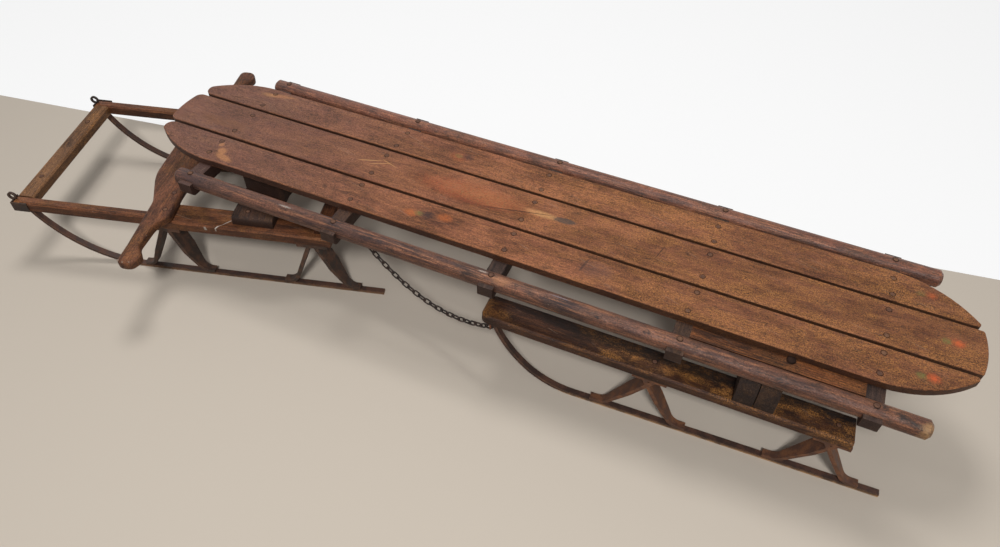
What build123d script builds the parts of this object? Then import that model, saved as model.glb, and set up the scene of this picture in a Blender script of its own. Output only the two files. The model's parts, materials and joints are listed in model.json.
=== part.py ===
"""Long wooden coasting sled: a three-plank deck with two hand rails, carried by a
steered front bob and a rear bob on iron runners.

Millimetres. +X runs to the front, +Y to the left, +Z up. The origin is the centre of
the deck's top face; the floor lies deck_height below it. Sizes of a bob are measured
along it and across it from its king pin or middle.
"""
import math
import os

from build123d import *

os.makedirs("parts", exist_ok=True)

# Deck planks
deck_height = 364
deck_half_length = 1064
side_plank_reach = 1048
plank_thick = 20
centre_plank_width = 128
side_plank_inner = 73
side_plank_outer = 171
nose_bulge = 8
nose_corner_round = 22
nose_side_round = 18
nose_taper = 222
nose_step = 72
nose_tip = 105
tail_corner_round = 6
tail_taper = 200
tail_step = 42
tail_narrowing = 50
tail_tip = 10
plank_edge_chamfer = 2

# Battens under the deck, and the round hand rails halved over their ends
batten_width = 38
batten_thick = 38
batten_reach_left = 262
batten_reach_right = 246
batten_end_round = 13
batten_a_place = 857
batten_b_place = 425
batten_c_place = 0
batten_d_place = -448
batten_e_place = -857
rail_radius = 21.5
rail_across_left = 230
rail_across_right = 219
rail_drop = 28
rail_front = 902
rail_rear = 970
rail_end_chamfer = 7

# Bearings that carry the bobs
bearer_inner = 92
bearer_rail_gap = 3.5
bearer_thick = 22
block_length = 126
block_half_width = 131
block_back = 40
pin_to_batten = 75
block_edge_chamfer = 6
swivel_gap = 0.4
king_pin_radius = 10
king_head_radius = 17
king_head_thick = 9
king_head_sides = 6
king_bore_clear = 1

# Both bobs
board_width = 75
board_chamfer = 5
runner_width = 16
runner_thick = 9
runner_seat_gap = 0.3
knee_thick = 10
knee_pad_length = 84
knee_pad_thick = 13
knee_foot_round = 38
knee_foot_tip = 28
knee_foot_width = 17
knee_elbow_share = 0.42

# Front bob
steer_rest = 15.65
front_top_drop = 143
front_board_thick = 28
front_board_across = 213
front_runner_across = 221.8
front_board_nose = 686
front_board_shoulder = 300
front_board_neck = 250
front_board_end = 216
front_rail_across = 229
front_rail_width = 28.5
front_runner_flat = 373
front_runner_tail = 338
front_heel_radius = 322
front_heel_turn = 30
front_nose_radius = 322
front_fore_knee = 254
front_fore_ahead = 96
front_fore_behind = 64
front_aft_knee = -160
front_aft_ahead = 83
front_aft_behind = 82
front_knee_width = 52
front_leg_start = 3
cross_bar_width = 46
cross_bar_place = 663
rear_tie_place = -194
rear_tie_width = 50
rear_tie_thick = 22
rear_tie_half = 232
bolster_width = 113
bolster_thick = 28
bolster_half = 232
bolster_shoulder = 14

# Rear bob: it stands a little askew and its boards rise to the nose
rear_turn = 2.4
rear_rise = 2.58
rear_bob_shift = 7.5
rear_top_drop = 155.5
rear_board_thick = 30
rear_board_across = 195.2
rear_runner_across = 203.6
rear_board_nose = 668
rear_nose_round = 18
rear_board_end = 214
rear_runner_flat = 420
rear_runner_tail = 333
rear_heel_radius = 200
rear_heel_turn = 42
rear_nose_radius = 330
rear_fore_knee = 243
rear_fore_ahead = 104
rear_fore_behind = 84
rear_aft_knee = -178
rear_aft_ahead = 91
rear_aft_behind = 76
rear_knee_width = 42
rear_leg_start = -20
beam_place = 11
beam_width = 45
beam_gap = 2
beam_half = 228
beam_cheek = 34
beam_shoulder = 58

# Steering bar
bar_thick = 28
bar_front = 319
bar_lobe_front = 331
bar_lobe_across = 98
bar_waist_front = 289
bar_waist_across = 203
bar_neck_front = 285
bar_neck_across = 372
bar_knob_front = 281
bar_end_across = 436
bar_end_rear = 238
bar_hook_rear = 224
bar_hook_across = 404
bar_neck_rear = 240
bar_arm_rear = 243
bar_arm_across = 288
bar_pad_rear = 219
bar_pad_across = 250
bar_rear = 225
bar_rear_across = 165
bar_corner_round = 14
bar_edge_chamfer = 6

# Irons with rope eyes on the front corners
corner_iron_length = 46
corner_iron_thick = 3
corner_iron_low = 2
eye_bore_radius = 7
eye_wire_radius = 2.8

# Check chains, from staples under the deck to the rear bob's nose
link_wire_radius = 2.1
link_half_straight = 6
link_bend_radius = 5.4
link_corner_share = 0.5
wire_sides = 6
link_play = 0.4
link_count = 27
chain_top_back = 8
chain_across = 172
chain_foot_back = 26
chain_foot_in = 10
staple_wire_radius = 2.2
staple_half = 7
staple_drop = 8.5
foot_staple_drop = 14

batten_places = (batten_a_place, batten_b_place, batten_c_place, batten_d_place, batten_e_place)
front_bob_place = batten_a_place - batten_width / 2 - pin_to_batten
rear_bob_place = (batten_d_place + batten_e_place) / 2 + rear_bob_shift

bobs = {
    "front": dict(place=front_bob_place, turn=steer_rest, rise=0, drop=front_top_drop,
                  thick=front_board_thick, runner_across=front_runner_across,
                  flat=front_runner_flat, tail=front_runner_tail,
                  heel_radius=front_heel_radius, heel_turn=front_heel_turn,
                  nose_radius=front_nose_radius, knee_width=front_knee_width,
                  leg_start=front_leg_start,
                  knees=((front_fore_knee, front_fore_ahead, front_fore_behind),
                         (front_aft_knee, front_aft_ahead, front_aft_behind))),
    "rear": dict(place=rear_bob_place, turn=rear_turn, rise=rear_rise, drop=rear_top_drop,
                 thick=rear_board_thick, runner_across=rear_runner_across,
                 flat=rear_runner_flat, tail=rear_runner_tail,
                 heel_radius=rear_heel_radius, heel_turn=rear_heel_turn,
                 nose_radius=rear_nose_radius, knee_width=rear_knee_width,
                 leg_start=rear_leg_start,
                 knees=((rear_fore_knee, rear_fore_ahead, rear_fore_behind),
                        (rear_aft_knee, rear_aft_ahead, rear_aft_behind))),
}
sides = {"left": 1, "right": -1}
rail_places = {"left": rail_across_left, "right": -rail_across_right}


def directions(turn):
    """Unit vectors along a bob and to its left."""
    angle = math.radians(turn)
    return (Vector(math.cos(angle), math.sin(angle), 0),
            Vector(-math.sin(angle), math.cos(angle), 0))


def bob_plan(bob):
    """Workplane on the top of a bob's boards, its x axis along the bob."""
    along, left = directions(bob["turn"])
    climb = math.radians(bob["rise"])
    slope = along * math.cos(climb) + Vector(0, 0, math.sin(climb))
    return Plane(origin=(bob["place"], 0, -bob["drop"]), x_dir=slope, z_dir=slope.cross(left))


def bob_side(bob, across):
    """Upright workplane along a bob at a distance to its left, seen from its right."""
    along, left = directions(bob["turn"])
    return Plane(origin=Vector(bob["place"], 0, 0) + left * across, x_dir=along, z_dir=left * -1)


def bob_cross(bob, along_by):
    """Upright workplane across a bob, its x axis to the left."""
    along, left = directions(bob["turn"])
    return Plane(origin=Vector(bob["place"], 0, 0) + along * along_by, x_dir=left, z_dir=along)


def board_top(bob, along_by):
    return -bob["drop"] + along_by * math.tan(math.radians(bob["rise"]))


def board_under(bob, along_by):
    return board_top(bob, along_by) - bob["thick"] / math.cos(math.radians(bob["rise"]))


def save(piece, label):
    piece.part.label = label
    export_step(piece.part, f"parts/{label}.step")


# Deck
with BuildPart() as centre_plank:
    with BuildSketch():
        with BuildLine():
            shoulder = deck_half_length - nose_bulge
            half = centre_plank_width / 2
            nose = ThreePointArc((shoulder, -half), (deck_half_length, 0), (shoulder, half))
            tail = ThreePointArc((-shoulder, half), (-deck_half_length, 0), (-shoulder, -half))
            Line(nose @ 1, tail @ 0)
            Line(tail @ 1, nose @ 0)
        make_face()
        fillet(vertices().group_by(Axis.X)[-1], nose_corner_round)
        fillet(vertices().group_by(Axis.X)[0], tail_corner_round)
    extrude(amount=-plank_thick)
    chamfer(edges().group_by(Axis.Z)[-1], plank_edge_chamfer)
save(centre_plank, "plank_centre")

for side, sign in sides.items():
    with BuildPart() as side_plank:
        with BuildSketch():
            with BuildLine():
                inner_edge = Line((-side_plank_reach, sign * side_plank_inner),
                                  (side_plank_reach, sign * side_plank_inner))
                tip = Line(inner_edge @ 1, (side_plank_reach, sign * nose_tip))
                taper = ThreePointArc(tip @ 1,
                                      (side_plank_reach - nose_step,
                                       sign * (side_plank_outer - nose_corner_round)),
                                      (side_plank_reach - nose_taper, sign * side_plank_outer))
                outer_edge = Line(taper @ 1, (tail_taper - side_plank_reach, sign * side_plank_outer))
                tail = ThreePointArc(outer_edge @ 1,
                                     (tail_step - side_plank_reach,
                                      sign * (side_plank_outer - tail_narrowing)),
                                     (-side_plank_reach, sign * (side_plank_inner + tail_tip)))
                Line(tail @ 1, inner_edge @ 0)
            make_face()
            fillet(vertices().sort_by_distance(inner_edge @ 1)[0], nose_corner_round)
            fillet(vertices().sort_by_distance(tip @ 1)[0], nose_side_round)
            fillet(vertices().sort_by_distance(inner_edge @ 0)[0], tail_corner_round)
        extrude(amount=-plank_thick)
        chamfer(edges().group_by(Axis.Z)[-1], plank_edge_chamfer)
    save(side_plank, f"plank_{side}")

with BuildPart() as battens:
    with BuildSketch(Plane.XY.offset(-plank_thick)):
        for place in batten_places:
            with Locations((place, (batten_reach_left - batten_reach_right) / 2)):
                Rectangle(batten_width, batten_reach_left + batten_reach_right)
    extrude(amount=-batten_thick)
    fillet(edges().filter_by(Axis.X).group_by(Axis.Z)[0], batten_end_round)
save(battens, "battens")

for side in sides:
    with BuildPart() as hand_rail:
        with BuildSketch(Plane.YZ.offset(-rail_rear)):
            with Locations((rail_places[side], -rail_drop)):
                Circle(rail_radius)
        extrude(amount=rail_rear + rail_front)
        chamfer(edges().group_by(Axis.X)[-1] + edges().group_by(Axis.X)[0], rail_end_chamfer)
        with BuildSketch(Plane.XY.offset(-plank_thick)):
            for place in batten_places:
                with Locations((place, rail_places[side])):
                    Rectangle(batten_width, rail_radius * 3)
        extrude(amount=-batten_thick - rail_radius, mode=Mode.SUBTRACT)
    save(hand_rail, f"hand_rail_{side}")

# Bearings under the deck
with BuildPart() as bearers:
    bearer_front = batten_d_place - batten_width / 2
    bearer_rear = batten_e_place + batten_width / 2
    with BuildSketch(Plane.XY.offset(-plank_thick)):
        for side, sign in sides.items():
            bearer_outer = sign * rail_places[side] - rail_radius - bearer_rail_gap
            with Locations(((bearer_front + bearer_rear) / 2, sign * (bearer_inner + bearer_outer) / 2)):
                Rectangle(bearer_front - bearer_rear, bearer_outer - bearer_inner)
    extrude(amount=-bearer_thick)
save(bearers, "rear_bearer_boards")

bolster_top = front_top_drop - bolster_thick
with BuildPart() as front_block:
    with BuildSketch(Plane.XY.offset(-plank_thick)):
        with Locations((front_bob_place - block_back, 0)):
            Rectangle(block_length, block_half_width * 2)
        with Locations((front_bob_place, 0)):
            Circle(king_pin_radius, mode=Mode.SUBTRACT)
    extrude(amount=plank_thick - bolster_top + swivel_gap)
    upright_edges = edges().filter_by(Axis.Z)
    chamfer(upright_edges.group_by(Axis.Y)[0] + upright_edges.group_by(Axis.Y)[-1], block_edge_chamfer)
save(front_block, "front_swivel_block")

with BuildPart() as king_pin:
    with BuildSketch(Plane.XY.offset(-plank_thick)):
        with Locations((front_bob_place, 0)):
            Circle(king_pin_radius)
    extrude(amount=plank_thick - front_top_drop - swivel_gap)
    with BuildSketch(Plane.XY.offset(-front_top_drop - swivel_gap)):
        with Locations((front_bob_place, 0)):
            RegularPolygon(king_head_radius, king_head_sides)
    extrude(amount=-king_head_thick)
save(king_pin, "king_pin")

# Side boards
front, rear = bobs["front"], bobs["rear"]
for side, sign in sides.items():
    with BuildPart() as side_board:
        with BuildSketch(bob_plan(front)):
            with BuildLine():
                wide_in = sign * (front_board_across - board_width / 2)
                wide_out = sign * (front_board_across + board_width / 2)
                rail_in = sign * (front_rail_across - front_rail_width / 2)
                rail_out = sign * (front_rail_across + front_rail_width / 2)
                Polyline((-front_board_end, wide_in), (-front_board_end, wide_out),
                         (front_board_neck, wide_out), (front_board_shoulder, rail_out),
                         (front_board_nose, rail_out), (front_board_nose, rail_in),
                         (front_board_shoulder, rail_in), (front_board_neck, wide_in),
                         close=True)
            make_face()
        extrude(amount=-front_board_thick)
        chamfer(edges().group_by(Axis.Z)[-1], board_chamfer)
    save(side_board, f"front_side_board_{side}")

for side, sign in sides.items():
    with BuildPart() as side_board:
        with BuildSketch(bob_plan(rear)):
            with Locations(((rear_board_nose - rear_board_end) / 2, sign * rear_board_across)):
                Rectangle(rear_board_nose + rear_board_end, board_width)
                fillet(vertices().group_by(Axis.X)[-1], rear_nose_round)
        extrude(amount=-rear_board_thick)
        chamfer(faces().sort_by(Axis.Z)[-1].edges(), board_chamfer)
    save(side_board, f"rear_side_board_{side}")

# Runners and knees
for name, bob in bobs.items():
    for side, sign in sides.items():
        heel_turn = math.radians(bob["heel_turn"])
        nose_along = bob["flat"]
        for attempt in range(4):
            seat = board_under(bob, nose_along) - runner_seat_gap
            climb = seat + deck_height - bob["heel_radius"] * (1 - math.cos(heel_turn))
            nose_cosine = (bob["nose_radius"] * math.cos(heel_turn) - climb) / (bob["nose_radius"] - runner_thick)
            nose_turn = math.acos(nose_cosine)
            nose_along = (bob["flat"] + bob["heel_radius"] * math.sin(heel_turn)
                          + bob["nose_radius"] * (math.sin(nose_turn) - math.sin(heel_turn)))
        with BuildPart() as runner:
            with BuildSketch(bob_side(bob, sign * bob["runner_across"])):
                with BuildLine():
                    under = Line((-bob["tail"], -deck_height), (bob["flat"], -deck_height))
                    heel = JernArc(under @ 1, under % 1, bob["heel_radius"], bob["heel_turn"])
                    JernArc(heel @ 1, heel % 1, bob["nose_radius"], math.degrees(nose_turn) - bob["heel_turn"])
                    offset(amount=runner_thick, side=Side.LEFT)
                make_face()
            extrude(amount=runner_width / 2, both=True)
        save(runner, f"{name}_runner_{side}")

        with BuildPart() as knees:
            knee_foot = -deck_height + runner_thick
            for place, ahead, behind in bob["knees"]:
                with BuildSketch(bob_side(bob, sign * bob["runner_across"])):
                    with BuildLine():
                        pad_front = place + knee_pad_length / 2
                        pad_rear = place - knee_pad_length / 2
                        Polyline((pad_rear, board_under(bob, pad_rear)),
                                 (pad_front, board_under(bob, pad_front)),
                                 (pad_front, board_under(bob, pad_front) - knee_pad_thick),
                                 (pad_rear, board_under(bob, pad_rear) - knee_pad_thick), close=True)
                    make_face()
                extrude(amount=bob["knee_width"] / 2, both=True)
                for way, spread, outer in ((1, ahead, Side.LEFT), (-1, behind, Side.RIGHT)):
                    with BuildSketch(bob_side(bob, sign * bob["runner_across"])):
                        with BuildLine():
                            start = board_under(bob, place) - knee_pad_thick / 2
                            FilletPolyline((place + way * bob["leg_start"], start),
                                           (place + way * (spread - knee_foot_width / 2), knee_foot),
                                           (place + way * (spread + knee_foot_tip), knee_foot),
                                           radius=knee_foot_round)
                            offset(amount=knee_thick, side=outer)
                        make_face()
                    extrude(amount=bob["knee_width"] / 2, both=True)
            with BuildSketch(bob_cross(bob, bob["flat"])):
                with BuildLine():
                    crown = board_top(bob, bob["flat"])
                    half = bob["knee_width"] / 2
                    middle = sign * bob["runner_across"]
                    elbow = knee_foot + (crown - knee_foot) * knee_elbow_share
                    Polyline((middle - knee_foot_width / 2, knee_foot),
                             (middle + knee_foot_width / 2, knee_foot),
                             (middle + half, elbow), (middle + half, crown),
                             (middle - half, crown), (middle - half, elbow), close=True)
                make_face()
            extrude(amount=-bob["flat"] - bob["tail"], mode=Mode.INTERSECT)
        print(name, side, "knees", len(knees.part.solids()), "nose at", round(nose_along, 1))
        save(knees, f"{name}_knees_{side}")

# Front bob's cross pieces
with BuildPart() as cross_bar:
    with BuildSketch(bob_plan(front)):
        with Locations((cross_bar_place, 0)):
            Rectangle(cross_bar_width, (front_rail_across - front_rail_width / 2) * 2)
    extrude(amount=-front_board_thick)
    chamfer(edges().filter_by(lambda edge: edge.length > front_rail_across).group_by(Axis.Z)[-1],
            board_chamfer)
save(cross_bar, "front_cross_bar")

with BuildPart() as rear_tie:
    with BuildSketch(bob_plan(front)):
        with Locations((rear_tie_place, 0)):
            Rectangle(rear_tie_width, rear_tie_half * 2)
    extrude(amount=rear_tie_thick)
    chamfer(edges().group_by(Axis.Z)[-1], board_chamfer)
save(rear_tie, "front_rear_tie")

with BuildPart() as front_bolster:
    with BuildSketch(bob_cross(front, 0)):
        with BuildLine():
            low = -front_top_drop
            high = low + bolster_thick
            Polyline((-bolster_half, low), (bolster_half, low), (bolster_half, high - bolster_shoulder))
            RadiusArc((bolster_half, high - bolster_shoulder), (bolster_half - bolster_shoulder, high),
                      -bolster_shoulder)
            Line((bolster_half - bolster_shoulder, high), (-bolster_half + bolster_shoulder, high))
            RadiusArc((-bolster_half + bolster_shoulder, high), (-bolster_half, high - bolster_shoulder),
                      -bolster_shoulder)
            Line((-bolster_half, high - bolster_shoulder), (-bolster_half, low))
        make_face()
    extrude(amount=bolster_width / 2, both=True)
    with BuildSketch(bob_plan(front)):
        Circle(king_pin_radius + king_bore_clear)
    extrude(amount=bolster_thick, mode=Mode.SUBTRACT)
save(front_bolster, "front_bolster")

with BuildPart() as steering_bar:
    with BuildSketch(bob_plan(front)):
        half = [(bar_front, 0), (bar_lobe_front, bar_lobe_across), (bar_waist_front, bar_waist_across),
                (bar_neck_front, bar_neck_across), (bar_knob_front, bar_end_across),
                (bar_end_rear, bar_end_across), (bar_hook_rear, bar_hook_across),
                (bar_neck_rear, bar_neck_across), (bar_arm_rear, bar_arm_across),
                (bar_pad_rear, bar_pad_across), (bar_rear, bar_rear_across)]
        with BuildLine():
            Polyline(*half, *[(along_by, -across) for along_by, across in reversed(half[1:])], close=True)
        make_face()
        fillet(vertices(), bar_corner_round)
    extrude(amount=bar_thick)
    chamfer(edges().group_by(Axis.Z)[-1] + edges().group_by(Axis.Z)[0], bar_edge_chamfer)
save(steering_bar, "steering_bar")

with BuildPart() as corner_irons:
    for way in sides.values():
        with BuildSketch(bob_plan(front)):
            with Locations((front_board_nose - corner_iron_length / 2 + corner_iron_thick,
                            way * front_rail_across)):
                Rectangle(corner_iron_length, front_rail_width + corner_iron_thick * 2)
            with Locations((front_board_nose - front_board_shoulder / 2, way * front_rail_across)):
                Rectangle(front_board_shoulder, front_rail_width, mode=Mode.SUBTRACT)
            with Locations((cross_bar_place, 0)):
                Rectangle(cross_bar_width, front_rail_across * 2, mode=Mode.SUBTRACT)
        extrude(amount=-front_board_thick - corner_iron_low)
        eye_radius = eye_bore_radius + 2 * eye_wire_radius
        with BuildSketch(bob_side(front, way * front_rail_across)):
            with Locations((front_board_nose + corner_iron_thick / 2,
                            -front_top_drop + eye_radius - eye_wire_radius)):
                Circle(eye_radius)
                Circle(eye_bore_radius, mode=Mode.SUBTRACT)
            with Locations((front_board_nose - eye_radius, -front_top_drop - eye_radius)):
                Rectangle(eye_radius * 2, eye_radius * 2, mode=Mode.SUBTRACT)
        extrude(amount=eye_wire_radius, both=True)
save(corner_irons, "corner_irons")

# Rear bob's beams under the bearer boards
for index, label in enumerate(("fore", "aft")):
    with BuildPart() as beam:
        middle = beam_place + (0.5 - index) * (beam_width + beam_gap)
        with BuildSketch(bob_cross(rear, middle)):
            with BuildLine():
                low = board_top(rear, middle - beam_width / 2)
                high = -plank_thick - bearer_thick
                base = Polyline((-beam_half, low + beam_cheek), (-beam_half, low), (beam_half, low),
                                (beam_half, low + beam_cheek))
                left_round = RadiusArc(base @ 1, (beam_half - beam_shoulder, high),
                                       -(beam_shoulder + beam_cheek))
                crown = Line(left_round @ 1, (-beam_half + beam_shoulder, high))
                RadiusArc(crown @ 1, base @ 0, -(beam_shoulder + beam_cheek))
            make_face()
        extrude(amount=beam_width / 2, both=True)
        with BuildSketch(bob_plan(rear)):
            with Locations((middle, 0)):
                Rectangle(beam_width * 2, beam_half * 3)
        extrude(amount=-beam_cheek, mode=Mode.SUBTRACT)
    save(beam, f"rear_beam_{label}")

# Check chains
link_corner = link_bend_radius * link_corner_share
link_end = link_half_straight + link_bend_radius
with BuildPart() as link:
    with BuildLine():
        near_side = Line((-link_half_straight, -link_bend_radius), (link_half_straight, -link_bend_radius))
        Polyline(near_side @ 1, (link_end, -link_corner), (link_end, link_corner),
                 (link_half_straight, link_bend_radius), (-link_half_straight, link_bend_radius),
                 (-link_end, link_corner), (-link_end, -link_corner), near_side @ 0)
    with BuildSketch(Plane(origin=near_side @ 0, x_dir=(0, 1, 0), z_dir=near_side % 0)):
        RegularPolygon(link_wire_radius, wire_sides)
    sweep(transition=Transition.RIGHT)

batten_under = -plank_thick - batten_thick
rear_along, rear_left = directions(rear_turn)


def chain_ends(sign):
    """The two staples' bars that a check chain hangs from."""
    top = Vector(batten_b_place - batten_width / 2 + chain_top_back, sign * chain_across,
                 batten_under - staple_drop)
    foot_along = rear_board_nose - chain_foot_back
    foot_across = sign * (rear_board_across + board_width / 2 - chain_foot_in)
    foot = (Vector(rear_bob_place, 0, board_under(rear, foot_along - staple_wire_radius)
                   - foot_staple_drop)
            + rear_along * foot_along + rear_left * foot_across)
    return top, foot


def chain_walk(sign, sag):
    """Points down the hanging chain, with the length run to each."""
    top, foot = chain_ends(sign)
    steps = link_count * 60
    walk = [top + (foot - top) * (step / steps)
            - Vector(0, 0, 4 * sag * (step / steps) * (1 - step / steps)) for step in range(steps + 1)]
    lengths = [0]
    for before, after in zip(walk, walk[1:]):
        lengths.append(lengths[-1] + (after - before).length)
    return walk, lengths


link_pitch = 2 * (link_half_straight + link_bend_radius - link_wire_radius) - link_play
link_reach = (link_half_straight + link_bend_radius - link_wire_radius - staple_wire_radius
              - link_play / 2)
chain_length = link_pitch * (link_count - 1) + link_reach * 2

for side, sign in sides.items():
    slack, tight = chain_length / 2, 0
    while slack - tight > link_play / 10:
        sag = (slack + tight) / 2
        if chain_walk(sign, sag)[1][-1] > chain_length:
            slack = sag
        else:
            tight = sag
    walk, lengths = chain_walk(sign, sag)
    with BuildPart() as chain:
        for index in range(link_count):
            want = link_reach + link_pitch * index
            nearest = min(range(1, len(walk) - 1), key=lambda step: abs(lengths[step] - want))
            ahead = (walk[nearest + 1] - walk[nearest - 1]).normalized()
            level = Vector(0, 0, 1).cross(ahead).normalized()
            upright = ahead.cross(level)
            plane = Plane(origin=walk[nearest], x_dir=ahead, z_dir=upright if index % 2 else level)
            with Locations(plane.location):
                add(link.part)
    print(side, "chain length", round(lengths[-1]), "sag", round(sag), "pitch", round(link_pitch, 2),
          "links", len(chain.part.solids()))
    save(chain, f"check_chain_{side}")

with BuildPart() as staples:
    for sign in sides.values():
        top, foot = chain_ends(sign)
        for middle, across, roof in ((top, Vector(0, 1, 0), batten_under),
                                     (foot, rear_left, foot.Z + foot_staple_drop)):
            rise = Vector(0, 0, roof - middle.Z)
            with BuildLine():
                Polyline(middle - across * staple_half + rise, middle - across * staple_half,
                         middle + across * staple_half, middle + across * staple_half + rise)
            with BuildSketch(Plane(origin=middle - across * staple_half + rise, x_dir=across,
                                   z_dir=(0, 0, -1))):
                RegularPolygon(staple_wire_radius, wire_sides)
            sweep(transition=Transition.RIGHT)
print("staples", len(staples.part.solids()))
save(staples, "chain_staples")
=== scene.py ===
import json
import math
import random

import bmesh
import bpy
from mathutils import Matrix, Vector


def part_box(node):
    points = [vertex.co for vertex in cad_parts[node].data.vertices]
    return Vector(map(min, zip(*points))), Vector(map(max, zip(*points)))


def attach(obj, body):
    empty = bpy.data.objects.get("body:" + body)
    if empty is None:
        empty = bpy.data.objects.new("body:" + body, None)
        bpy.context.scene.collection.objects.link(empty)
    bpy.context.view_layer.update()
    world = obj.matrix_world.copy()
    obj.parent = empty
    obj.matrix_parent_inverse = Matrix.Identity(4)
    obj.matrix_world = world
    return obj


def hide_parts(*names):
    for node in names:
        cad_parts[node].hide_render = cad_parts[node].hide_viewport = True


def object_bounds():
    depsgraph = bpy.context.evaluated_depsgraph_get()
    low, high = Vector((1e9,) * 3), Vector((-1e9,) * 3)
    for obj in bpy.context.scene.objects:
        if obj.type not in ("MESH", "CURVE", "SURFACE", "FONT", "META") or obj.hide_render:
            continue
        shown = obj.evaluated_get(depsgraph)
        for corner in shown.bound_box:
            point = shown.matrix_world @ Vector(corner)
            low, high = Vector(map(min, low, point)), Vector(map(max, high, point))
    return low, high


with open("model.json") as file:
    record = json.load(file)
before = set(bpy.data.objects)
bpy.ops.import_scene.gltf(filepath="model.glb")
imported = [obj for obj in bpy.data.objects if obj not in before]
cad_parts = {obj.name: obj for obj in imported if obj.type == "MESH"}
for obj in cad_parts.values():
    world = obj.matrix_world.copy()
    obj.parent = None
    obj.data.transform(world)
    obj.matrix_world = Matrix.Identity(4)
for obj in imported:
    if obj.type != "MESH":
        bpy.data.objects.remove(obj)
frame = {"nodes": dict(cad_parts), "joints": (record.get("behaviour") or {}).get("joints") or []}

cad_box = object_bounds()
dice = random.Random(7)


def top_of(node):
    """Height of a CAD node's top, to a tenth of a millimetre."""
    return round(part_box(node)[1].z, 4)


def under_of(node):
    """Height of a CAD node's under side, to a tenth of a millimetre."""
    return round(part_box(node)[0].z, 4)


# Places on the CAD model, in metres and degrees. Heights come from the frame.
floor_level = round(cad_box[0].z, 4)
batten_rows = (0.857, 0.425, 0.0, -0.448, -0.857)
rail_lines = (0.230, -0.219)
front_place, front_turn = frame["joints"][0]["pos_m"][:2], 15.65
rear_place, rear_turn = (-0.645, 0.0), 2.4
rear_board_level, rear_board_rise = -0.1555, 2.58
bar_under, bar_top = under_of("steering_bar"), top_of("steering_bar")

# Camera that took the photograph, solved from the deck's grid of screw heads
camera_place = (-0.480, 1.3226, 1.3019)
camera_right = (-0.91517, -0.40268, 0.01789)
camera_down = (-0.30824, 0.67056, -0.67479)
camera_ahead = (0.25972, -0.62306, -0.73779)
camera_lens, camera_sensor, camera_reach = 27.56, 36, 200
photo_width, photo_height = 1000, 547


def tone(red, green, blue):
    """A colour as a picture program shows it, for a shader: the sRGB curve is undone."""
    return tuple((c / 255 / 12.92 if c <= 10 else ((c / 255 + 0.055) / 1.055) ** 2.4)
                 for c in (red, green, blue)) + (1.0,)


# Node helpers
edge_start, edge_full = 0.99, 0.90  # cosine between the rounded normal and the plain one
edge_samples = 4
most_speckle = 0.78


def seen_directly(tree):
    """1 for rays that come straight from the camera or off something glossy, else 0."""
    path = tree.nodes.new("ShaderNodeLightPath")
    seen = tree.nodes.new("ShaderNodeMath")
    seen.operation = "MAXIMUM"
    tree.links.new(path.outputs["Is Camera Ray"], seen.inputs[0])
    tree.links.new(path.outputs["Is Glossy Ray"], seen.inputs[1])
    return seen.outputs[0]


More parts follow.
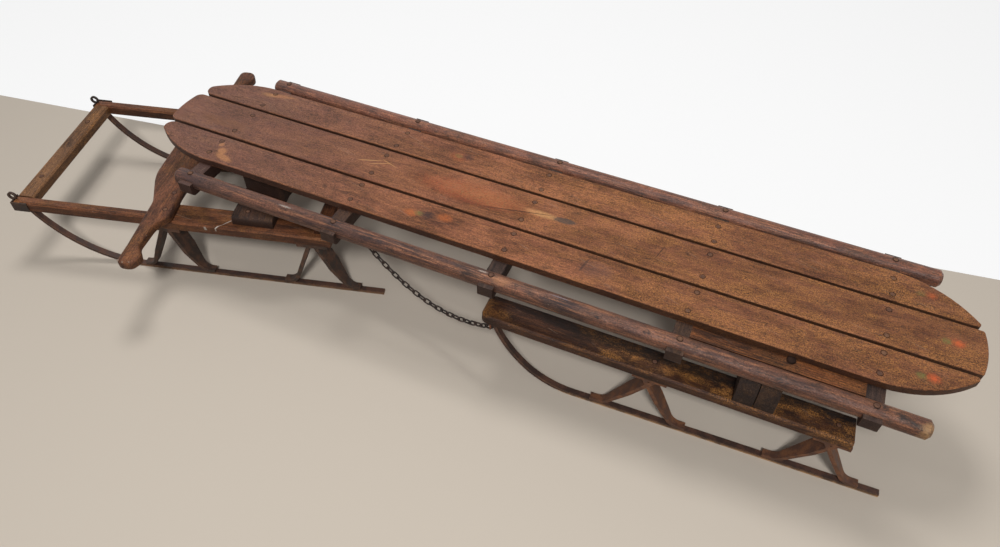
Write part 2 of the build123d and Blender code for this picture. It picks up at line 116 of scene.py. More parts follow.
class Surface:
    """One procedural material, with short ways to add its nodes."""

    def __init__(self, name):
        self.material = bpy.data.materials.new(name)
        self.material.use_nodes = True
        self.tree = self.material.node_tree
        self.tree.nodes.clear()
        self.out = self.tree.nodes.new("ShaderNodeOutputMaterial")
        self.shader = self.tree.nodes.new("ShaderNodeBsdfPrincipled")
        self.tree.links.new(self.shader.outputs[0], self.out.inputs[0])

    def node(self, kind, **settings):
        made = self.tree.nodes.new(kind)
        for key, value in settings.items():
            setattr(made, key, value)
        return made

    def feed(self, socket, value):
        """Links another node's output to a socket, or sets the socket to a constant."""
        if isinstance(value, bpy.types.NodeSocket):
            self.tree.links.new(value, socket)
        else:
            socket.default_value = value

    def calc(self, operation, a, b=0.0):
        made = self.node("ShaderNodeMath", operation=operation)
        self.feed(made.inputs[0], a)
        self.feed(made.inputs[1], b)
        return made.outputs[0]

    def times(self, a, b):
        return self.calc("MULTIPLY", a, b)

    def plus(self, a, b):
        return self.calc("ADD", a, b)

    def vector_calc(self, operation, a, b=(0, 0, 0)):
        """Outputs of a vector node: "Vector", or "Value" for a length or a dot product."""
        made = self.node("ShaderNodeVectorMath", operation=operation)
        self.feed(made.inputs[0], a)
        self.feed(made.inputs[1], b)
        return made.outputs

    def coords(self):
        return self.node("ShaderNodeTexCoord").outputs["Object"]

    def axis(self, index):
        split = self.node("ShaderNodeSeparateXYZ")
        self.feed(split.inputs[0], self.coords())
        return split.outputs[index]

    def mapped(self, vector, turn=0.0, stretch=(1, 1, 1), shift=(0, 0, 0)):
        made = self.node("ShaderNodeMapping")
        self.feed(made.inputs["Vector"], vector)
        made.inputs["Rotation"].default_value = (0, 0, -math.radians(turn))
        made.inputs["Scale"].default_value = stretch
        made.inputs["Location"].default_value = shift
        return made.outputs[0]

    def place(self, turn=0.0, stretch=(1, 1, 1), shift=(0, 0, 0)):
        """Model coordinates turned about the upright axis, then stretched."""
        return self.mapped(self.mapped(self.coords(), turn), 0.0, stretch, shift)

    def noise(self, vector, scale, detail, rough, twist=0.0):
        made = self.node("ShaderNodeTexNoise")
        self.feed(made.inputs["Vector"], vector)
        for key, value in (("Scale", scale), ("Detail", detail), ("Roughness", rough),
                           ("Distortion", twist)):
            made.inputs[key].default_value = value
        return made.outputs["Fac"]

    def level(self, value, start, full, to_start=0.0, to_full=1.0):
        """Smooth step of a value between where it starts and where it is full."""
        made = self.node("ShaderNodeMapRange", interpolation_type="SMOOTHSTEP")
        self.feed(made.inputs["Value"], value)
        for key, number in (("From Min", start), ("From Max", full), ("To Min", to_start),
                            ("To Max", to_full)):
            made.inputs[key].default_value = number
        return made.outputs["Result"]

    def mix(self, factor, a, b, blend="MIX"):
        made = self.node("ShaderNodeMix", data_type="RGBA", blend_type=blend)
        self.feed(made.inputs["Factor"], factor)
        self.feed(made.inputs["A"], a)
        self.feed(made.inputs["B"], b)
        return made.outputs["Result"]

    def edges(self, radius):
        """Rounded normal, and a mask of the edges, where it leaves the plain one."""
        bevel = self.node("ShaderNodeBevel", samples=edge_samples)
        bevel.inputs["Radius"].default_value = radius
        plain = self.node("ShaderNodeNewGeometry").outputs["Normal"]
        likeness = self.vector_calc("DOT_PRODUCT", bevel.outputs[0], plain)["Value"]
        return bevel.outputs[0], self.level(likeness, edge_start, edge_full)

    def spot(self, at, size, grain, ragged, turn=0.0):
        """Mask of a worn patch or a painted mark: a speckled oval with ragged edges."""
        from_centre = self.vector_calc("SUBTRACT", self.coords(), (*at, 0.0))["Vector"]
        oval = self.vector_calc("MULTIPLY", self.mapped(from_centre, turn),
                                (1 / size[0], 1 / size[1], 0.0))["Vector"]
        length = self.vector_calc("LENGTH", oval)["Value"]
        fray = self.noise(self.place(stretch=(1, 2.5, 1)), grain, 5.0, 0.7)
        reach = self.plus(length, self.times(self.calc("SUBTRACT", fray, 0.5), ragged * 2))
        speckle = self.level(fray, 0.43, 0.56, 1.0 - min(ragged / 2, most_speckle), 1.0)
        return self.times(self.level(reach, 1.0, 0.70), speckle)

    def lay(self, colour, mark):
        """Lays a mark over a colour. A mark on top fades out down the sides."""
        mask = self.spot(mark["at"], mark["size"], mark["grain"], mark["ragged"],
                         mark.get("turn", 0.0))
        mask = self.times(mask, mark["strength"])
        if mark.get("top", True):
            under = mark.get("under", deck_mark_under)
            mask = self.times(mask, self.level(self.axis(2), under, under + mark_fade))
        return self.mix(mask, colour, mark["colour"])

    def bump(self, height, strength, distance, normal):
        made = self.node("ShaderNodeBump")
        self.feed(made.inputs["Height"], height)
        made.inputs["Strength"].default_value = strength
        made.inputs["Distance"].default_value = distance
        self.feed(made.inputs["Normal"], normal)
        self.feed(self.shader.inputs["Normal"], made.outputs[0])


# Colours read from the photograph
plum = tone(104, 76, 70)
umber = tone(80, 46, 32)
brown = tone(142, 88, 62)
amber = tone(178, 116, 76)
gold = tone(192, 132, 72)
# Sooty dirt for blots, pores, scars and iron scale, also the colour of the painted shadow on the
# near rear board
soot_and_painted_shadow = tone(26, 20, 18)
side_shadow = tone(40, 25, 20)
dust = tone(150, 128, 112)
worn_gold = tone(196, 146, 96)
petal_dark = tone(58, 40, 36)
flower_red = tone(198, 92, 50)
flower_orange = tone(182, 100, 52)
flower_green = tone(104, 106, 58)
pale_wood = tone(192, 134, 90)
# Chalky white for scratches, also the colour of painted highlights on the near rail
chalk_and_highlight = tone(214, 206, 194)

# Where along the sled the wood's looks change, in metres from the deck's middle
plum_start, plum_full = 0.1, 0.95
umber_full, umber_end = -0.75, 0.0
film_full, film_end = -0.6, 0.4

# Heights that marks fade out under, and the height that the fading takes, in metres
deck_mark_under, fore_mark_under, rear_painted_shadow_under, mark_fade = -0.006, -0.160, -0.2, 0.005

wood_bump, iron_bump = 0.0010, 0.0009
iron_edge = 0.0012
polish_full, polish_end = 0.0030, 0.0070  # heights above the floor of a runner's bright edge
crosswise = 90.0


def aged_wood(name, turn=0.0, seed=0.0, dark=umber, middle=brown, light=amber, film_tone=gold,
              cool=0.5, rear=0.0, gloss=0.52, shine=0.18, dents=0.0, even=0.15, crackle=0.5,
              streaks=0.35, stain=0.35, wear=0.6, shade=0.75, spots=(), radius=0.0022):
    """Old stained and varnished wood. Its grain runs at that turn about the upright axis.

    cool is the plum cast to the front and rear the umber cast to the back. crackle is how much
    golden varnish is left in its cracked net, and even how evenly. stain is the sooty dirt in the
    blots, wear the rubbed edges, shade how far the sides are darkened with painted shade, dents
    the hollows of a worked rail.
    """
    s = Surface(name)
    shift = (seed * 3.7, seed * 1.3, seed * 2.1)
    patch_shift, blot_shift = (shift[1], shift[0], 4.0), (shift[2], shift[0], 9.0)

    def grain(along, across, detail, rough, twist=0.0, skew=0.0, moved=shift):
        """Noise with its own density per metre along and across the grain."""
        return s.noise(s.place(turn + skew, (along, across, across), moved), 1.0, detail, rough,
                       twist)

    fibres = grain(9, 190, 5.0, 0.65, 0.4)
    pores = grain(70, 620, 3.0, 0.6)
    grit = grain(260, 520, 3.0, 0.7)
    flame = grain(1.5, 15, 2.0, 0.45, 0.6)
    rings = s.calc("SINE", s.times(flame, 80.0))
    cloud = grain(6.5, 15, 7.0, 0.66, 0.5)
    patch = grain(3.6, 9, 6.0, 0.62, 0.3, moved=patch_shift)
    blots = grain(16, 30, 5.0, 0.7, 0.4, moved=blot_shift)
    scars = grain(5.0, 330, 2.0, 0.5, skew=7)
    nicks = grain(9.0, 420, 2.0, 0.5, skew=-16)
    film = s.node("ShaderNodeTexVoronoi", feature="DISTANCE_TO_EDGE")
    s.feed(film.inputs["Vector"], s.place(turn, (210, 340, 340), shift))
    film.inputs["Scale"].default_value = 1.0
    net = s.level(film.outputs["Distance"], 0.24, 0.04)

    # The wood itself: clouds, light fibres, dark rings, and the casts to front and back
    colour = s.mix(s.level(cloud, 0.34, 0.64), dark, middle)
    colour = s.mix(s.times(s.level(fibres, 0.46, 0.66), streaks), colour, light)
    colour = s.mix(s.level(rings, 0.1, 1.0, 0.0, streaks * 0.7), colour, dark)
    if cool:
        ahead = s.level(s.axis(0), plum_start, plum_full, 0.0, cool)
        colour = s.mix(s.times(ahead, s.level(patch, 0.25, 0.75, 0.6, 1.0)), colour, plum)
    if rear:
        colour = s.mix(s.level(s.axis(0), umber_full, umber_end, rear, 0.0), colour, umber)

    # What is left of the varnish
    zones = s.level(s.times(s.level(patch, 0.40, 0.62, even, 1.0),
                            s.level(blots, 0.35, 0.6, even, 1.0)), 0.1, 0.9)
    golden = s.times(s.times(net, zones), crackle)
    if rear:
        golden = s.times(golden, s.level(s.axis(0), film_full, film_end, 1.15, 0.4))
    colour = s.mix(golden, colour, film_tone)

    # Dirt and wear: blots, grit, pores, scars along the grain, nicks, and the marks, among them a
    # painted shadow and painted highlights
    colour = s.mix(s.level(blots, 0.56, 0.70, 0.0, stain), colour, soot_and_painted_shadow)
    colour = s.mix(1.0, colour, s.level(grit, 0.36, 0.64, 0.58, 1.40), "MULTIPLY")
    for flaws, start, full, strength, filling in (
            (pores, 0.56, 0.64, 0.62, soot_and_painted_shadow), (scars, 0.66, 0.71, 0.65, soot_and_painted_shadow),
            (nicks, 0.69, 0.73, 0.45, dust)):
        colour = s.mix(s.level(flaws, start, full, 0.0, strength), colour, filling)
    for mark in spots:
        colour = s.lay(colour, mark)

    # Painted shade: faces that do not look up are darkened towards side_shadow. Then rubbed edges
    normal, edge = s.edges(radius)
    facing = s.node("ShaderNodeSeparateXYZ")
    s.feed(facing.inputs[0], s.node("ShaderNodeNewGeometry").outputs["Normal"])
    sides = s.level(s.calc("ABSOLUTE", facing.outputs[2]), 0.75, 0.35, 0.0, shade)
    colour = s.mix(sides, colour, side_shadow)
    rubbed = s.times(edge, s.level(fibres, 0.42, 0.62, 0.05, wear))
    colour = s.mix(rubbed, colour, light)
    s.feed(s.shader.inputs["Base Color"], colour)
    dull, glossy = gloss + 0.12, gloss - 0.08
    s.feed(s.shader.inputs["Roughness"], s.level(cloud, 0.25, 0.75, dull, glossy))
    s.shader.inputs["Specular IOR Level"].default_value = shine

    height = s.calc("SUBTRACT", s.times(fibres, 0.7), s.level(pores, 0.55, 0.70, 0.0, 0.6))
    height = s.plus(height, s.times(net, 0.3))
    height = s.plus(height, s.times(grit, 0.35))
    if dents:
        height = s.plus(height, s.times(grain(22, 60, 3.0, 0.5), dents))
    s.bump(height, 0.6, wood_bump, normal)
    return s.material


def old_iron(name, base=tone(54, 42, 36), rust=tone(88, 62, 48), bright=tone(136, 108, 86),
             polish=0.0, metal=0.1, shine=0.3):
    """Rusted wrought iron. polish is how bright the running edge near the floor is rubbed."""
    s = Surface(name)
    grime = s.noise(s.place(), 38.0, 6.0, 0.65)
    scale = s.noise(s.place(), 240.0, 4.0, 0.6)
    colour = s.mix(s.level(grime, 0.40, 0.66), base, rust)
    colour = s.mix(s.level(scale, 0.55, 0.70, 0.0, 0.5), colour, soot_and_painted_shadow)
    normal, edge = s.edges(iron_edge)
    colour = s.mix(s.times(edge, s.level(grime, 0.3, 0.6, 0.15, 0.6)), colour, bright)
    if polish:
        low = s.level(s.axis(2), floor_level + polish_full, floor_level + polish_end, polish, 0.0)
        colour = s.mix(s.times(low, s.level(grime, 0.30, 0.60, 0.2, 1.0)), colour, bright)
    s.feed(s.shader.inputs["Base Color"], colour)
    s.shader.inputs["Specular IOR Level"].default_value = shine
    s.shader.inputs["Metallic"].default_value = metal
    s.feed(s.shader.inputs["Roughness"], s.level(grime, 0.3, 0.7, 0.50, 0.72))
    height = s.plus(s.times(grime, 0.6), s.times(scale, 0.5))
    s.bump(height, 0.5, iron_bump, normal)
    return s.material


# Worn marks, painted highlights and a painted shadow: place and half size in metres, turn in
# degrees
def rosette(at, heart=flower_red, strength=0.7, petals=0.3):
    """Worn painted flower: a speckled heart with a green side and dark petals around."""
    leaf = (at[0] + 0.024, at[1] + 0.003)
    return (dict(at=at, size=(0.022, 0.018), colour=petal_dark, strength=petals, ragged=1.5,
                 grain=150.0),
            dict(at=leaf, size=(0.014, 0.011), colour=flower_green, strength=strength * 0.8,
                 ragged=1.6, grain=150.0),
            dict(at=at, size=(0.018, 0.015), colour=heart, strength=strength * 0.7, ragged=1.6,
                 grain=130.0),
            dict(at=at, size=(0.008, 0.007), colour=heart, strength=strength * 0.8, ragged=1.0,
                 grain=170.0))


def scratch(start, end, width, colour, strength, **more):
    """Long thin mark between two places."""
    (x0, y0), (x1, y1) = start, end
    return dict(at=((x0 + x1) / 2, (y0 + y1) / 2), size=(math.dist(start, end) / 2, width),
                turn=math.degrees(math.atan2(y1 - y0, x1 - x0)), colour=colour,
                strength=strength, ragged=0.45, grain=200.0, **more)


centre_marks = (
    dict(at=(-0.037, -0.003), size=(0.054, 0.012), colour=worn_gold, strength=0.95, ragged=1.3,
         grain=260.0),
    dict(at=(-0.096, -0.004), size=(0.034, 0.011), turn=4.0, colour=tone(78, 64, 56),
         strength=0.95, ragged=0.5, grain=160.0),
    scratch((0.490, 0.006), (0.420, -0.018), 0.0024, worn_gold, 0.7),
    scratch((0.455, 0.010), (0.395, -0.020), 0.0018, worn_gold, 0.7),
    scratch((0.430, -0.024), (0.372, -0.006), 0.0018, worn_gold, 0.6),
    dict(at=(0.15, 0.0), size=(0.18, 0.044), colour=tone(162, 70, 44), strength=0.6, ragged=1.7,
         grain=120.0),
    dict(at=(0.13, -0.004), size=(0.15, 0.036), colour=worn_gold, strength=0.3, ragged=2.2,
         grain=170.0),
    scratch((0.129, 0.036), (-0.08, -0.013), 0.0022, soot_and_painted_shadow, 0.75),
    scratch((-0.302, 0.040), (-0.334, 0.030), 0.0018, soot_and_painted_shadow, 0.7),
    scratch((-0.334, 0.030), (-0.346, -0.027), 0.0018, soot_and_painted_shadow, 0.7),
    dict(at=(0.90, 0.02), size=(0.10, 0.022), colour=tone(132, 90, 62), strength=0.4, ragged=1.4,
         grain=160.0),
) + rosette((-1.003, -0.002), strength=1.0)
left_marks = (
    dict(at=(0.812, 0.148), size=(0.034, 0.012), turn=-14.0, colour=pale_wood, strength=0.8,
         ragged=1.4, grain=230.0),
    dict(at=(0.832, 0.127), size=(0.017, 0.014), turn=-30.0, colour=pale_wood, strength=0.8,
         ragged=1.3, grain=230.0),
    dict(at=(0.850, 0.106), size=(0.008, 0.010), turn=-40.0, colour=pale_wood, strength=0.7,
         ragged=1.2, grain=230.0),
    dict(at=(0.262, 0.128), size=(0.024, 0.016), colour=flower_orange, strength=0.75, ragged=1.6,
         grain=150.0),
    dict(at=(0.176, 0.110), size=(0.024, 0.016), colour=flower_orange, strength=0.75, ragged=1.6,
         grain=150.0),
    scratch((-0.184, 0.143), (-0.194, 0.089), 0.004, soot_and_painted_shadow, 0.6),
    dict(at=(-0.22, 0.12), size=(0.05, 0.03), colour=plum, strength=0.4, ragged=1.2, grain=90.0),
) + rosette((0.219, 0.119), petal_dark, 0.9, 0.8) + rosette((-0.958, 0.117), strength=1.0)
right_marks = (
    dict(at=(0.835, -0.148), size=(0.052, 0.010), turn=10.0, colour=pale_wood, strength=0.6,
         ragged=1.5, grain=260.0),
    dict(at=(0.870, -0.140), size=(0.030, 0.010), colour=worn_gold, strength=0.4, ragged=1.6,
         grain=260.0),
    dict(at=(0.245, -0.118), size=(0.030, 0.020), colour=flower_red, strength=0.25, ragged=1.4,
         grain=200.0),
) + rosette((0.226, -0.125), petal_dark, 0.7, 0.6) + rosette((-0.943, -0.124), strength=0.45)
rail_marks_and_highlights = (
    dict(at=(-0.03, 0.236), size=(0.030, 0.012), colour=tone(186, 128, 86), strength=0.55,
         top=False, ragged=1.5, grain=260.0),
    # Painted highlights: pale and purple-grey streaks along the top ridge of the rail
    dict(at=(0.02, 0.228), size=(0.014, 0.003), colour=chalk_and_highlight, strength=0.6, top=False, ragged=1.4,
         grain=320.0),
    dict(at=(-0.17, 0.228), size=(0.030, 0.003), colour=tone(156, 148, 156), strength=0.5,
         top=False, ragged=1.4, grain=320.0),
    dict(at=(0.56, 0.234), size=(0.022, 0.003), colour=chalk_and_highlight, strength=0.5, top=False, ragged=1.5,
         grain=320.0),
    dict(at=(-0.972, 0.246), size=(0.030, 0.022), colour=tone(168, 130, 88), strength=0.8,
         top=False, ragged=1.1, grain=140.0),
    dict(at=(0.84, 0.230), size=(0.05, 0.03), colour=tone(52, 40, 42), strength=0.6, top=False,
         ragged=1.2, grain=90.0),
)
board_marks = (
    scratch((0.826, 0.277), (0.794, 0.274), 0.0013, chalk_and_highlight, 0.95, under=fore_mark_under),
    scratch((0.798, 0.275), (0.778, 0.252), 0.0013, chalk_and_highlight, 0.95, under=fore_mark_under),
    scratch((0.781, 0.255), (0.764, 0.224), 0.0013, chalk_and_highlight, 0.85, under=fore_mark_under),
)
# Painted shadow: a dark oval over the inner half of the near rear board, where the rail and deck
# cast shade
rear_board_painted_shadow = (
    dict(at=(-0.43, 0.176), size=(0.50, 0.036), turn=rear_turn, colour=soot_and_painted_shadow, strength=0.92,
         ragged=0.5, grain=50.0, under=rear_painted_shadow_under),
)


# Looks of the CAD nodes
def tones(dark, middle, light):
    return dict(dark=tone(*dark), middle=tone(*middle), light=tone(*light))


batten_tones = tones((34, 26, 24), (66, 50, 44), (104, 80, 66))
rear_beam_tones = tones((24, 19, 18), (44, 34, 30), (88, 68, 58))
rear_board_tones = tones((30, 20, 16), (66, 40, 28), (116, 74, 42))
bearer_tones = tones((36, 24, 18), (100, 58, 34), (150, 92, 50))
fore_tones = tones((50, 30, 23), (112, 68, 44), (156, 100, 62))
cross_bar_tones = tones((62, 42, 30), (120, 84, 56), (168, 120, 76))
steering_bar_tones = tones((46, 30, 26), (112, 68, 46), (152, 98, 62))
bolster_tones = tones((32, 24, 21), (64, 44, 36), (104, 72, 50))
near_rail_tones = tones((40, 27, 27), (116, 74, 56), (164, 110, 78))
far_rail_tones = tones((66, 40, 32), (128, 76, 54), (166, 108, 78))

deck_look = dict(rear=0.5, cool=0.85, stain=0.5, shade=0.8, wear=0.95, radius=0.003, even=0.5)
rail_look = dict(crackle=0.10, streaks=0.7, gloss=0.40, cool=0.35)
fore_board_look = dict(turn=front_turn, crackle=0.3, cool=0.0, shade=0.5, **fore_tones)
fore_cross_look = dict(turn=front_turn + crosswise, cool=0.0)
rear_board_look = dict(turn=rear_turn, streaks=0.35, cool=0.0, shade=0.35,
                       film_tone=tone(156, 106, 56), **rear_board_tones)
rear_beam_look = dict(turn=rear_turn + crosswise, crackle=0.1, cool=0.0, shade=0.3,
                      **rear_beam_tones)
woods = {
    "plank_centre": dict(spots=centre_marks, seed=1.0, crackle=0.42, **deck_look),
    "plank_left": dict(spots=left_marks, seed=2.0, crackle=0.38, **deck_look),
    "plank_right": dict(spots=right_marks, seed=3.0, crackle=0.45, **deck_look),
    "battens": dict(turn=crosswise, crackle=0.1, seed=4.0, **batten_tones),
    "hand_rail_left": dict(spots=rail_marks_and_highlights, shine=0.28, dents=4.0, rear=0.3, stain=1.0,
                           shade=0.3, seed=5.0, **rail_look, **near_rail_tones),
    "hand_rail_right": dict(shine=0.35, dents=3.0, stain=0.5, shade=0.2, seed=6.0,
                            **rail_look, **far_rail_tones),
    "rear_bearer_boards": dict(stain=0.8, crackle=0.1, streaks=0.55, cool=0.0, seed=7.0,
                               **bearer_tones),
    "front_swivel_block": dict(turn=crosswise, crackle=0.1, cool=0.0, seed=8.0, **bolster_tones),
    "front_bolster": dict(crackle=0.1, seed=9.0, **fore_cross_look, **bolster_tones),
    "front_rear_tie": dict(crackle=0.15, seed=10.0, **fore_cross_look, **fore_tones),
    "front_cross_bar": dict(crackle=0.55, shade=0.4, seed=11.0, **fore_cross_look,
                            **cross_bar_tones),
    "front_side_board_left": dict(spots=board_marks, seed=12.0, **fore_board_look),
    "front_side_board_right": dict(seed=13.0, **fore_board_look),
    "rear_side_board_left": dict(spots=rear_board_painted_shadow, crackle=1.0, seed=15.0,
                                 **rear_board_look),
    "rear_side_board_right": dict(crackle=0.8, seed=16.0, **rear_board_look),
    "rear_beam_fore": dict(seed=17.0, **rear_beam_look),
    "rear_beam_aft": dict(seed=18.0, **rear_beam_look),
}
bar_look = dict(crackle=0.2, shade=0.25, stain=0.7, seed=14.0, dents=2.5, **fore_cross_look,
                **steering_bar_tones)

runner_look = dict(base=tone(58, 42, 36), rust=tone(86, 58, 46), bright=tone(176, 138, 98))
rear_knee_look = dict(base=tone(80, 54, 42), rust=tone(122, 80, 54))
chain_look = dict(base=tone(30, 25, 24), rust=tone(56, 42, 36), bright=tone(84, 68, 58))
irons = {
    "corner_irons": dict(base=tone(40, 32, 30), rust=tone(70, 52, 42)),
    "chain_staples": dict(base=tone(52, 36, 30), rust=tone(132, 76, 48)),
    "king_pin": dict(base=tone(46, 36, 32)),
}
for side in ("left", "right"):
    irons["front_runner_" + side] = dict(polish=0.35, **runner_look)
    irons["rear_runner_" + side] = dict(polish=0.95, **runner_look)
    irons["front_knees_" + side] = {}
    irons["rear_knees_" + side] = rear_knee_look
    irons["check_chain_" + side] = chain_look

# Worn edges: how wide they are rounded where they are drawn
soft_edges = {"hand_rail_left": 0.004, "hand_rail_right": 0.004, "front_bolster": 0.002,
              "front_rear_tie": 0.002}
soft_steps, sharp_angle = 3, 28


def dress(node, material):
    """Gives a CAD node its material in place of the plain one."""
    mesh = frame["nodes"][node].data
    if not mesh.materials:
        mesh.materials.append(material)
    for index in range(len(mesh.materials)):
        frame["nodes"][node].material_slots[index].material = material


def soften(node, width):
    """Rounds a node's sharp edges where it is drawn, and leaves its mesh as it is."""
    bevel = frame["nodes"][node].modifiers.new("worn_edges", "BEVEL")
    bevel.width = width
    bevel.segments = soft_steps
    bevel.limit_method = "ANGLE"
    bevel.angle_limit = math.radians(sharp_angle)


for node, look in woods.items():
    dress(node, aged_wood("wood_" + node, **look))
for node, width in soft_edges.items():
    soften(node, width)
for node, look in irons.items():
    dress(node, old_iron("iron_" + node, **look))


# New pieces: meshes that ride on a body
def keep_mesh(name, bm, material, body, smooth=True):
    """Turns a bmesh into a piece that rides on a body and takes its finish from a slot."""
    mesh = bpy.data.meshes.new(name)
    bmesh.ops.recalc_face_normals(bm, faces=bm.faces)
    bm.to_mesh(mesh)
    bm.free()
    mesh.materials.append(material)
    piece = bpy.data.objects.new(name, mesh)
    bpy.context.scene.collection.objects.link(piece)
    if smooth:
        mesh.shade_smooth()
    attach(piece, body)
    return piece


def bob_point(bob, along, across, height):
    """Point from a bob's own lengths along and across."""
    (x, y), turn = (front_place, front_turn) if bob == "front" else (rear_place, rear_turn)
    angle = math.radians(turn)
    return Vector((x + along * math.cos(angle) - across * math.sin(angle),
                   y + along * math.sin(angle) + across * math.cos(angle), height))


# Steering bar: the CAD's outline with the wide soft rounding that wear gave the real one.
# Half of it, as (along, across, radius) for each corner, from the king pin.
bar_half = ((0.331, 0.098, 0.150), (0.289, 0.203, 0.080), (0.281, 0.368, 0.040),
            (0.281, 0.436, 0.034), (0.238, 0.436, 0.024), (0.224, 0.404, 0.016),
            (0.248, 0.368, 0.030), (0.243, 0.288, 0.060), (0.219, 0.250, 0.030),
            (0.225, 0.165, 0.014))
bar_edge, bar_edge_steps, corner_steps = 0.009, 5, 7
most_of_side = 0.49


def rounded_outline(corners):
    """Closed outline of (along, across) points with each (along, across, radius) corner rounded."""
    line = []
    for k, (x, y, radius) in enumerate(corners):
        here = Vector((x, y))
        before, after = (Vector(corners[(k + step) % len(corners)][:2]) - here for step in (-1, 1))
        opening = before.angle(after)
        cut = min(radius / math.tan(opening / 2), most_of_side * before.length,
                  most_of_side * after.length)
        start, end = here + before.normalized() * cut, here + after.normalized() * cut
        for step in range(corner_steps + 1):
            t = step / corner_steps
            line.append(start * (1 - t) ** 2 + here * (2 * t * (1 - t)) + end * t ** 2)
    return line


def inward(line, depth):
    """The outline moved in by a depth."""
    moved = []
    for k, point in enumerate(line):
        way = (line[(k + 1) % len(line)] - line[k - 1]).normalized()
        moved.append(point + Vector((-way.y, way.x)) * depth)
    return moved


def steering_bar_piece():
    """The bar as a stack of outlines that draw in at its under side and its top."""
    line = rounded_outline([(a, -b, r) for a, b, r in bar_half]
                           + [(a, b, r) for a, b, r in reversed(bar_half)])
    if sum(p.x * q.y - q.x * p.y for p, q in zip(line, line[1:] + line[:1])) < 0:
        line.reverse()
    bm = bmesh.new()
    angles = [math.pi / 2 * k / bar_edge_steps for k in range(bar_edge_steps + 1)]
    layers = [(bar_under + bar_edge * (1 - math.cos(t)), bar_edge * (1 - math.sin(t)))
              for t in angles]
    layers += [(bar_top - bar_edge * (1 - math.sin(t)), bar_edge * (1 - math.cos(t)))
               for t in angles]
    rings = [[bm.verts.new(bob_point("front", a, b, level)) for a, b in inward(line, depth)]
             for level, depth in layers]
    for low, high in zip(rings, rings[1:]):
        for k in range(len(line)):
            after = (k + 1) % len(line)
            bm.faces.new((low[k], low[after], high[after], high[k]))
    bm.faces.new(list(reversed(rings[0])))
    bm.faces.new(rings[-1])
    piece = keep_mesh("steering_bar_wood", bm, aged_wood("wood_steering_bar", **bar_look),
                      "front_bob")
    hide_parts("steering_bar")


steering_bar_piece()

# Fasteners: turned profiles as (radius, height) in metres
bolt_head = ((0.0, 0.0017), (0.0032, 0.0016), (0.0050, 0.0012), (0.0062, 0.0003), (0.0062, -0.001))
ring_gap = ((0.0058, 0.0002), (0.0073, 0.0002), (0.0076, -0.0008))
big_head = ((0.0, 0.0075), (0.0060, 0.0072), (0.0090, 0.0056), (0.0100, 0.0030), (0.0104, -0.001))
square_nut = ((0.0, 0.0048), (0.0085, 0.0048), (0.0092, 0.0040), (0.0092, -0.0005))
nail_head = ((0.0, 0.0012), (0.0020, 0.0010), (0.0026, 0.0004), (0.0026, -0.001))
head_sink = 0.0011
sunk_head = tuple((radius, height - head_sink) for radius, height in bolt_head)
facets, nut_sides = 16, 4

head_iron = old_iron("iron_heads", base=tone(88, 62, 50), rust=tone(116, 84, 64),
                     bright=tone(160, 130, 108), metal=0.0, shine=0.15)
gap_dark = old_iron("dark_gaps", base=tone(40, 29, 25), rust=tone(52, 38, 32),
                    bright=tone(60, 46, 38), metal=0.0, shine=0.03)
nut_iron = old_iron("iron_nuts", base=tone(70, 58, 52), rust=tone(96, 70, 56),
                    bright=tone(150, 134, 120), metal=0.3)
pale_iron = old_iron("iron_nails", base=tone(150, 134, 120), rust=tone(120, 90, 70),
                     bright=tone(206, 196, 186), metal=0.2)


def turned(bm, profile, place, sides, spin):
    """Adds a turned form at a place, a 4 by 4 matrix whose z axis is the form's axis."""
    rings = []
    for radius, height in profile:
        if radius == 0.0:
            rings.append([bm.verts.new(place @ Vector((0, 0, height)))])
            continue
        angles = [spin + 2 * math.pi * k / sides for k in range(sides)]
        rings.append([bm.verts.new(place @ Vector((radius * math.cos(a), radius * math.sin(a),
                                                   height))) for a in angles])
    for inner, outer in zip(rings, rings[1:]):
        for k in range(sides):
            after = (k + 1) % sides
            if len(inner) == 1:
                bm.faces.new((inner[0], outer[k], outer[after]))
            else:
                bm.faces.new((inner[k], outer[k], outer[after], inner[after]))


def fastener_set(name, body, places, profile, material, sides=facets, smooth=True):
    """One piece of like fasteners, each turned by a random spin."""
    bm = bmesh.new()
    for place in places:
        turned(bm, profile, place, sides, dice.uniform(0, math.pi))
    keep_mesh(name, bm, material, body, smooth)


def upright(at, lean=0.0, heading=0.0):
    """Place whose z axis leans away from upright by an angle towards a heading, in degrees."""
    return (Matrix.Translation(at) @ Matrix.Rotation(math.radians(heading), 4, "Z")
            @ Matrix.Rotation(math.radians(lean), 4, "Y"))


# Where fasteners sit on the deck, and how far the maker's hand was off
screw_lines = (-0.148, -0.090, -0.038, 0.038, 0.090, 0.148)
screw_play, screw_lean, rail_bolt_play = 0.004, 1.5, 0.003
rail_head_lift = 0.0003
deck_heads = []
for row in batten_rows:
    for line in screw_lines:
        along = row + dice.uniform(-screw_play, screw_play)
        across = line + dice.uniform(-screw_play, screw_play)
        lean, heading = dice.uniform(0, screw_lean), dice.uniform(0, 360)
        deck_heads.append(upright((along, across, 0.0), lean, heading))
rail_spots = [(row + dice.uniform(-rail_bolt_play, rail_bolt_play), line)
              for row in batten_rows for line in rail_lines]
rail_head_level = top_of("hand_rail_left") + rail_head_lift
rail_heads = [upright((x, y, rail_head_level)) for x, y in rail_spots]
rail_ends = [upright((x, y, under_of("battens")), 180.0) for x, y in rail_spots]
bearer_bolt = (-0.682, 0.177, top_of("rear_bearer_boards"))

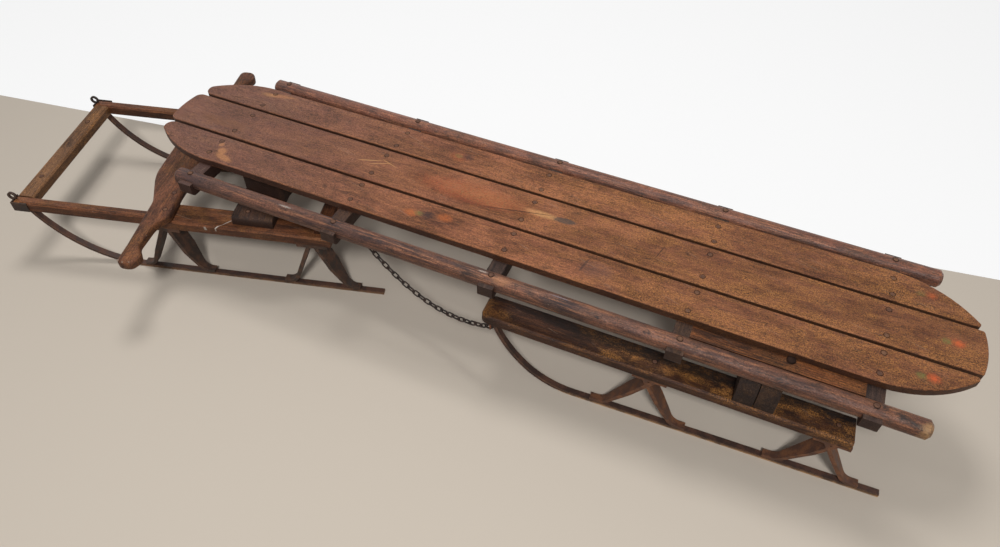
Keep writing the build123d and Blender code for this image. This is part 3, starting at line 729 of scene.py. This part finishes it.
# Where they sit on the bobs, as lengths along and across from the bob's own place
front_bolts = (("steering_bar", 0.243, 0.165), ("steering_bar", 0.243, -0.165),
               ("steering_bar", 0.239, 0.232), ("steering_bar", 0.239, -0.232),
               ("front_bolster", 0.018, 0.204), ("front_bolster", -0.016, -0.204),
               ("front_rear_tie", -0.194, 0.205), ("front_rear_tie", -0.194, -0.205),
               ("front_cross_bar", 0.663, 0.130), ("front_cross_bar", 0.663, -0.130))
rear_bolts = ((0.243, 0.195), (0.243, -0.195), (-0.178, 0.195), (-0.178, -0.195))
bar_nails = ((0.246, 0.429), (0.262, 0.431), (0.276, 0.427))
nail_sink, nail_lean = 0.0016, 30.0


def rear_board_top(along):
    return rear_board_level + along * math.tan(math.radians(rear_board_rise))


front_heads = [upright(bob_point("front", a, b, top_of(node))) for node, a, b in front_bolts]
rear_heads = [upright(bob_point("rear", a, b, rear_board_top(a)), rear_board_rise,
                      180.0 + rear_turn) for a, b in rear_bolts]
nail_heads = [upright(bob_point("front", a, b, bar_top - nail_sink), nail_lean,
                      90.0 + front_turn) for a, b in bar_nails]

fastener_set("deck_bolt_heads", "deck", deck_heads, sunk_head, head_iron)
fastener_set("deck_bolt_rims", "deck", deck_heads, ring_gap, gap_dark)
fastener_set("rail_bolt_heads", "deck", rail_heads, bolt_head, head_iron)
fastener_set("rail_bolt_rims", "deck", rail_heads, ring_gap, gap_dark)
fastener_set("bearer_bolt_head", "deck", [upright(bearer_bolt)], big_head, gap_dark)
fastener_set("rail_bolt_nuts", "deck", rail_ends, square_nut, nut_iron, nut_sides, False)
fastener_set("front_bob_bolt_heads", "front_bob", front_heads, sunk_head, head_iron)
fastener_set("front_bob_bolt_rims", "front_bob", front_heads, ring_gap, gap_dark)
fastener_set("rear_bob_bolt_heads", "deck", rear_heads, sunk_head, head_iron)
fastener_set("rear_bob_bolt_rims", "deck", rear_heads, ring_gap, gap_dark)
fastener_set("bar_nail_heads", "front_bob", nail_heads, nail_head, pale_iron)

# Stage: a pale floor, and the sheet of paper that lies on it behind the sled
stage_half = 30.0
stage_drop, paper_drop = 0.0008, 0.0004
paper_glow, room_glow = 0.75, 0.26
paper_edge = ((0, 95), (1000, 280))  # pixels where its edge crosses the photograph's sides


def flat_stage(name, corners, material, level):
    mesh = bpy.data.meshes.new(name)
    mesh.from_pydata([(x, y, level) for x, y in corners], [], [tuple(range(len(corners)))])
    mesh.materials.append(material)
    made = bpy.data.objects.new(name, mesh)
    bpy.context.scene.collection.objects.link(made)


def pale_material(name, colour, glow):
    """Plain matt stage colour, part of it unlit for the camera so that it stays pale."""
    s = Surface(name)
    s.shader.inputs["Base Color"].default_value = colour
    s.shader.inputs["Roughness"].default_value = 0.9
    if glow:
        light = s.node("ShaderNodeEmission")
        light.inputs["Color"].default_value = (1, 1, 1, 1)
        blend = s.node("ShaderNodeMixShader")
        s.feed(blend.inputs[0], s.times(seen_directly(s.tree), glow))
        s.feed(blend.inputs[1], s.shader.outputs[0])
        s.feed(blend.inputs[2], light.outputs[0])
        s.feed(s.out.inputs[0], blend.outputs[0])
    return s.material


def floor_point(column, row):
    """Floor point that the camera sees at a pixel of the photograph."""
    focal = camera_lens / camera_sensor * photo_width
    ray = (Vector(camera_ahead) + Vector(camera_right) * ((column - photo_width / 2) / focal)
           + Vector(camera_down) * ((row - photo_height / 2) / focal))
    reach = (floor_level - camera_place[2]) / ray.z
    return Vector(camera_place) + ray * reach


paper_left, paper_right = (floor_point(*pixel) for pixel in paper_edge)
edge_way = (paper_right - paper_left).normalized()
outward = Vector((edge_way.y, -edge_way.x, 0))
if paper_left.dot(outward) < 0:
    outward = -outward
start, end = paper_left - edge_way * stage_half, paper_left + edge_way * stage_half
flat_stage("stage_floor", ((-stage_half, -stage_half), (stage_half, -stage_half),
                           (stage_half, stage_half), (-stage_half, stage_half)),
           pale_material("pale_floor", tone(198, 187, 173), 0.0), floor_level - stage_drop)
flat_stage("stage_paper", [(p.x, p.y) for p in (start, end, end + outward * stage_half,
                                                start + outward * stage_half)],
           pale_material("white_paper", (0.9, 0.9, 0.9, 1), paper_glow),
           floor_level - paper_drop)

# World: white where it is seen, dimmer where it only lights the sled
world = bpy.data.worlds.new("studio")
bpy.context.scene.world = world
world.use_nodes = True
tree = world.node_tree
background = tree.nodes["Background"]
background.inputs["Color"].default_value = (1, 1, 1, 1)
strength = tree.nodes.new("ShaderNodeMapRange")
strength.inputs["To Min"].default_value = room_glow
strength.inputs["To Max"].default_value = 1.0
tree.links.new(seen_directly(tree), strength.inputs["Value"])
tree.links.new(strength.outputs["Result"], background.inputs["Strength"])


def soft_light(name, place, target, size, power):
    lamp = bpy.data.lights.new(name, "AREA")
    lamp.shape = "DISK"
    lamp.size = size
    lamp.energy = power
    made = bpy.data.objects.new(name, lamp)
    made.location = place
    made.rotation_euler = (Vector(target) - Vector(place)).to_track_quat("-Z", "Y").to_euler()
    bpy.context.scene.collection.objects.link(made)


soft_light("key_light", (-1.1, 3.2, 3.9), target=(0.0, 0.0, -0.2), size=0.8, power=152)
soft_light("top_light", (0.6, -0.6, 3.6), target=(0.1, 0.0, -0.2), size=1.2, power=60)

camera = bpy.data.cameras.new("photo_camera")
camera.lens = camera_lens
camera.sensor_width = camera_sensor
camera.clip_end = camera_reach
shot = bpy.data.objects.new("photo_camera", camera)
axes = Matrix((Vector(camera_right), -Vector(camera_down), -Vector(camera_ahead))).transposed()
shot.matrix_world = Matrix.Translation(camera_place) @ axes.to_4x4()
bpy.context.scene.collection.objects.link(shot)
bpy.context.scene.camera = shot
bpy.context.scene.view_settings.view_transform = "Standard"
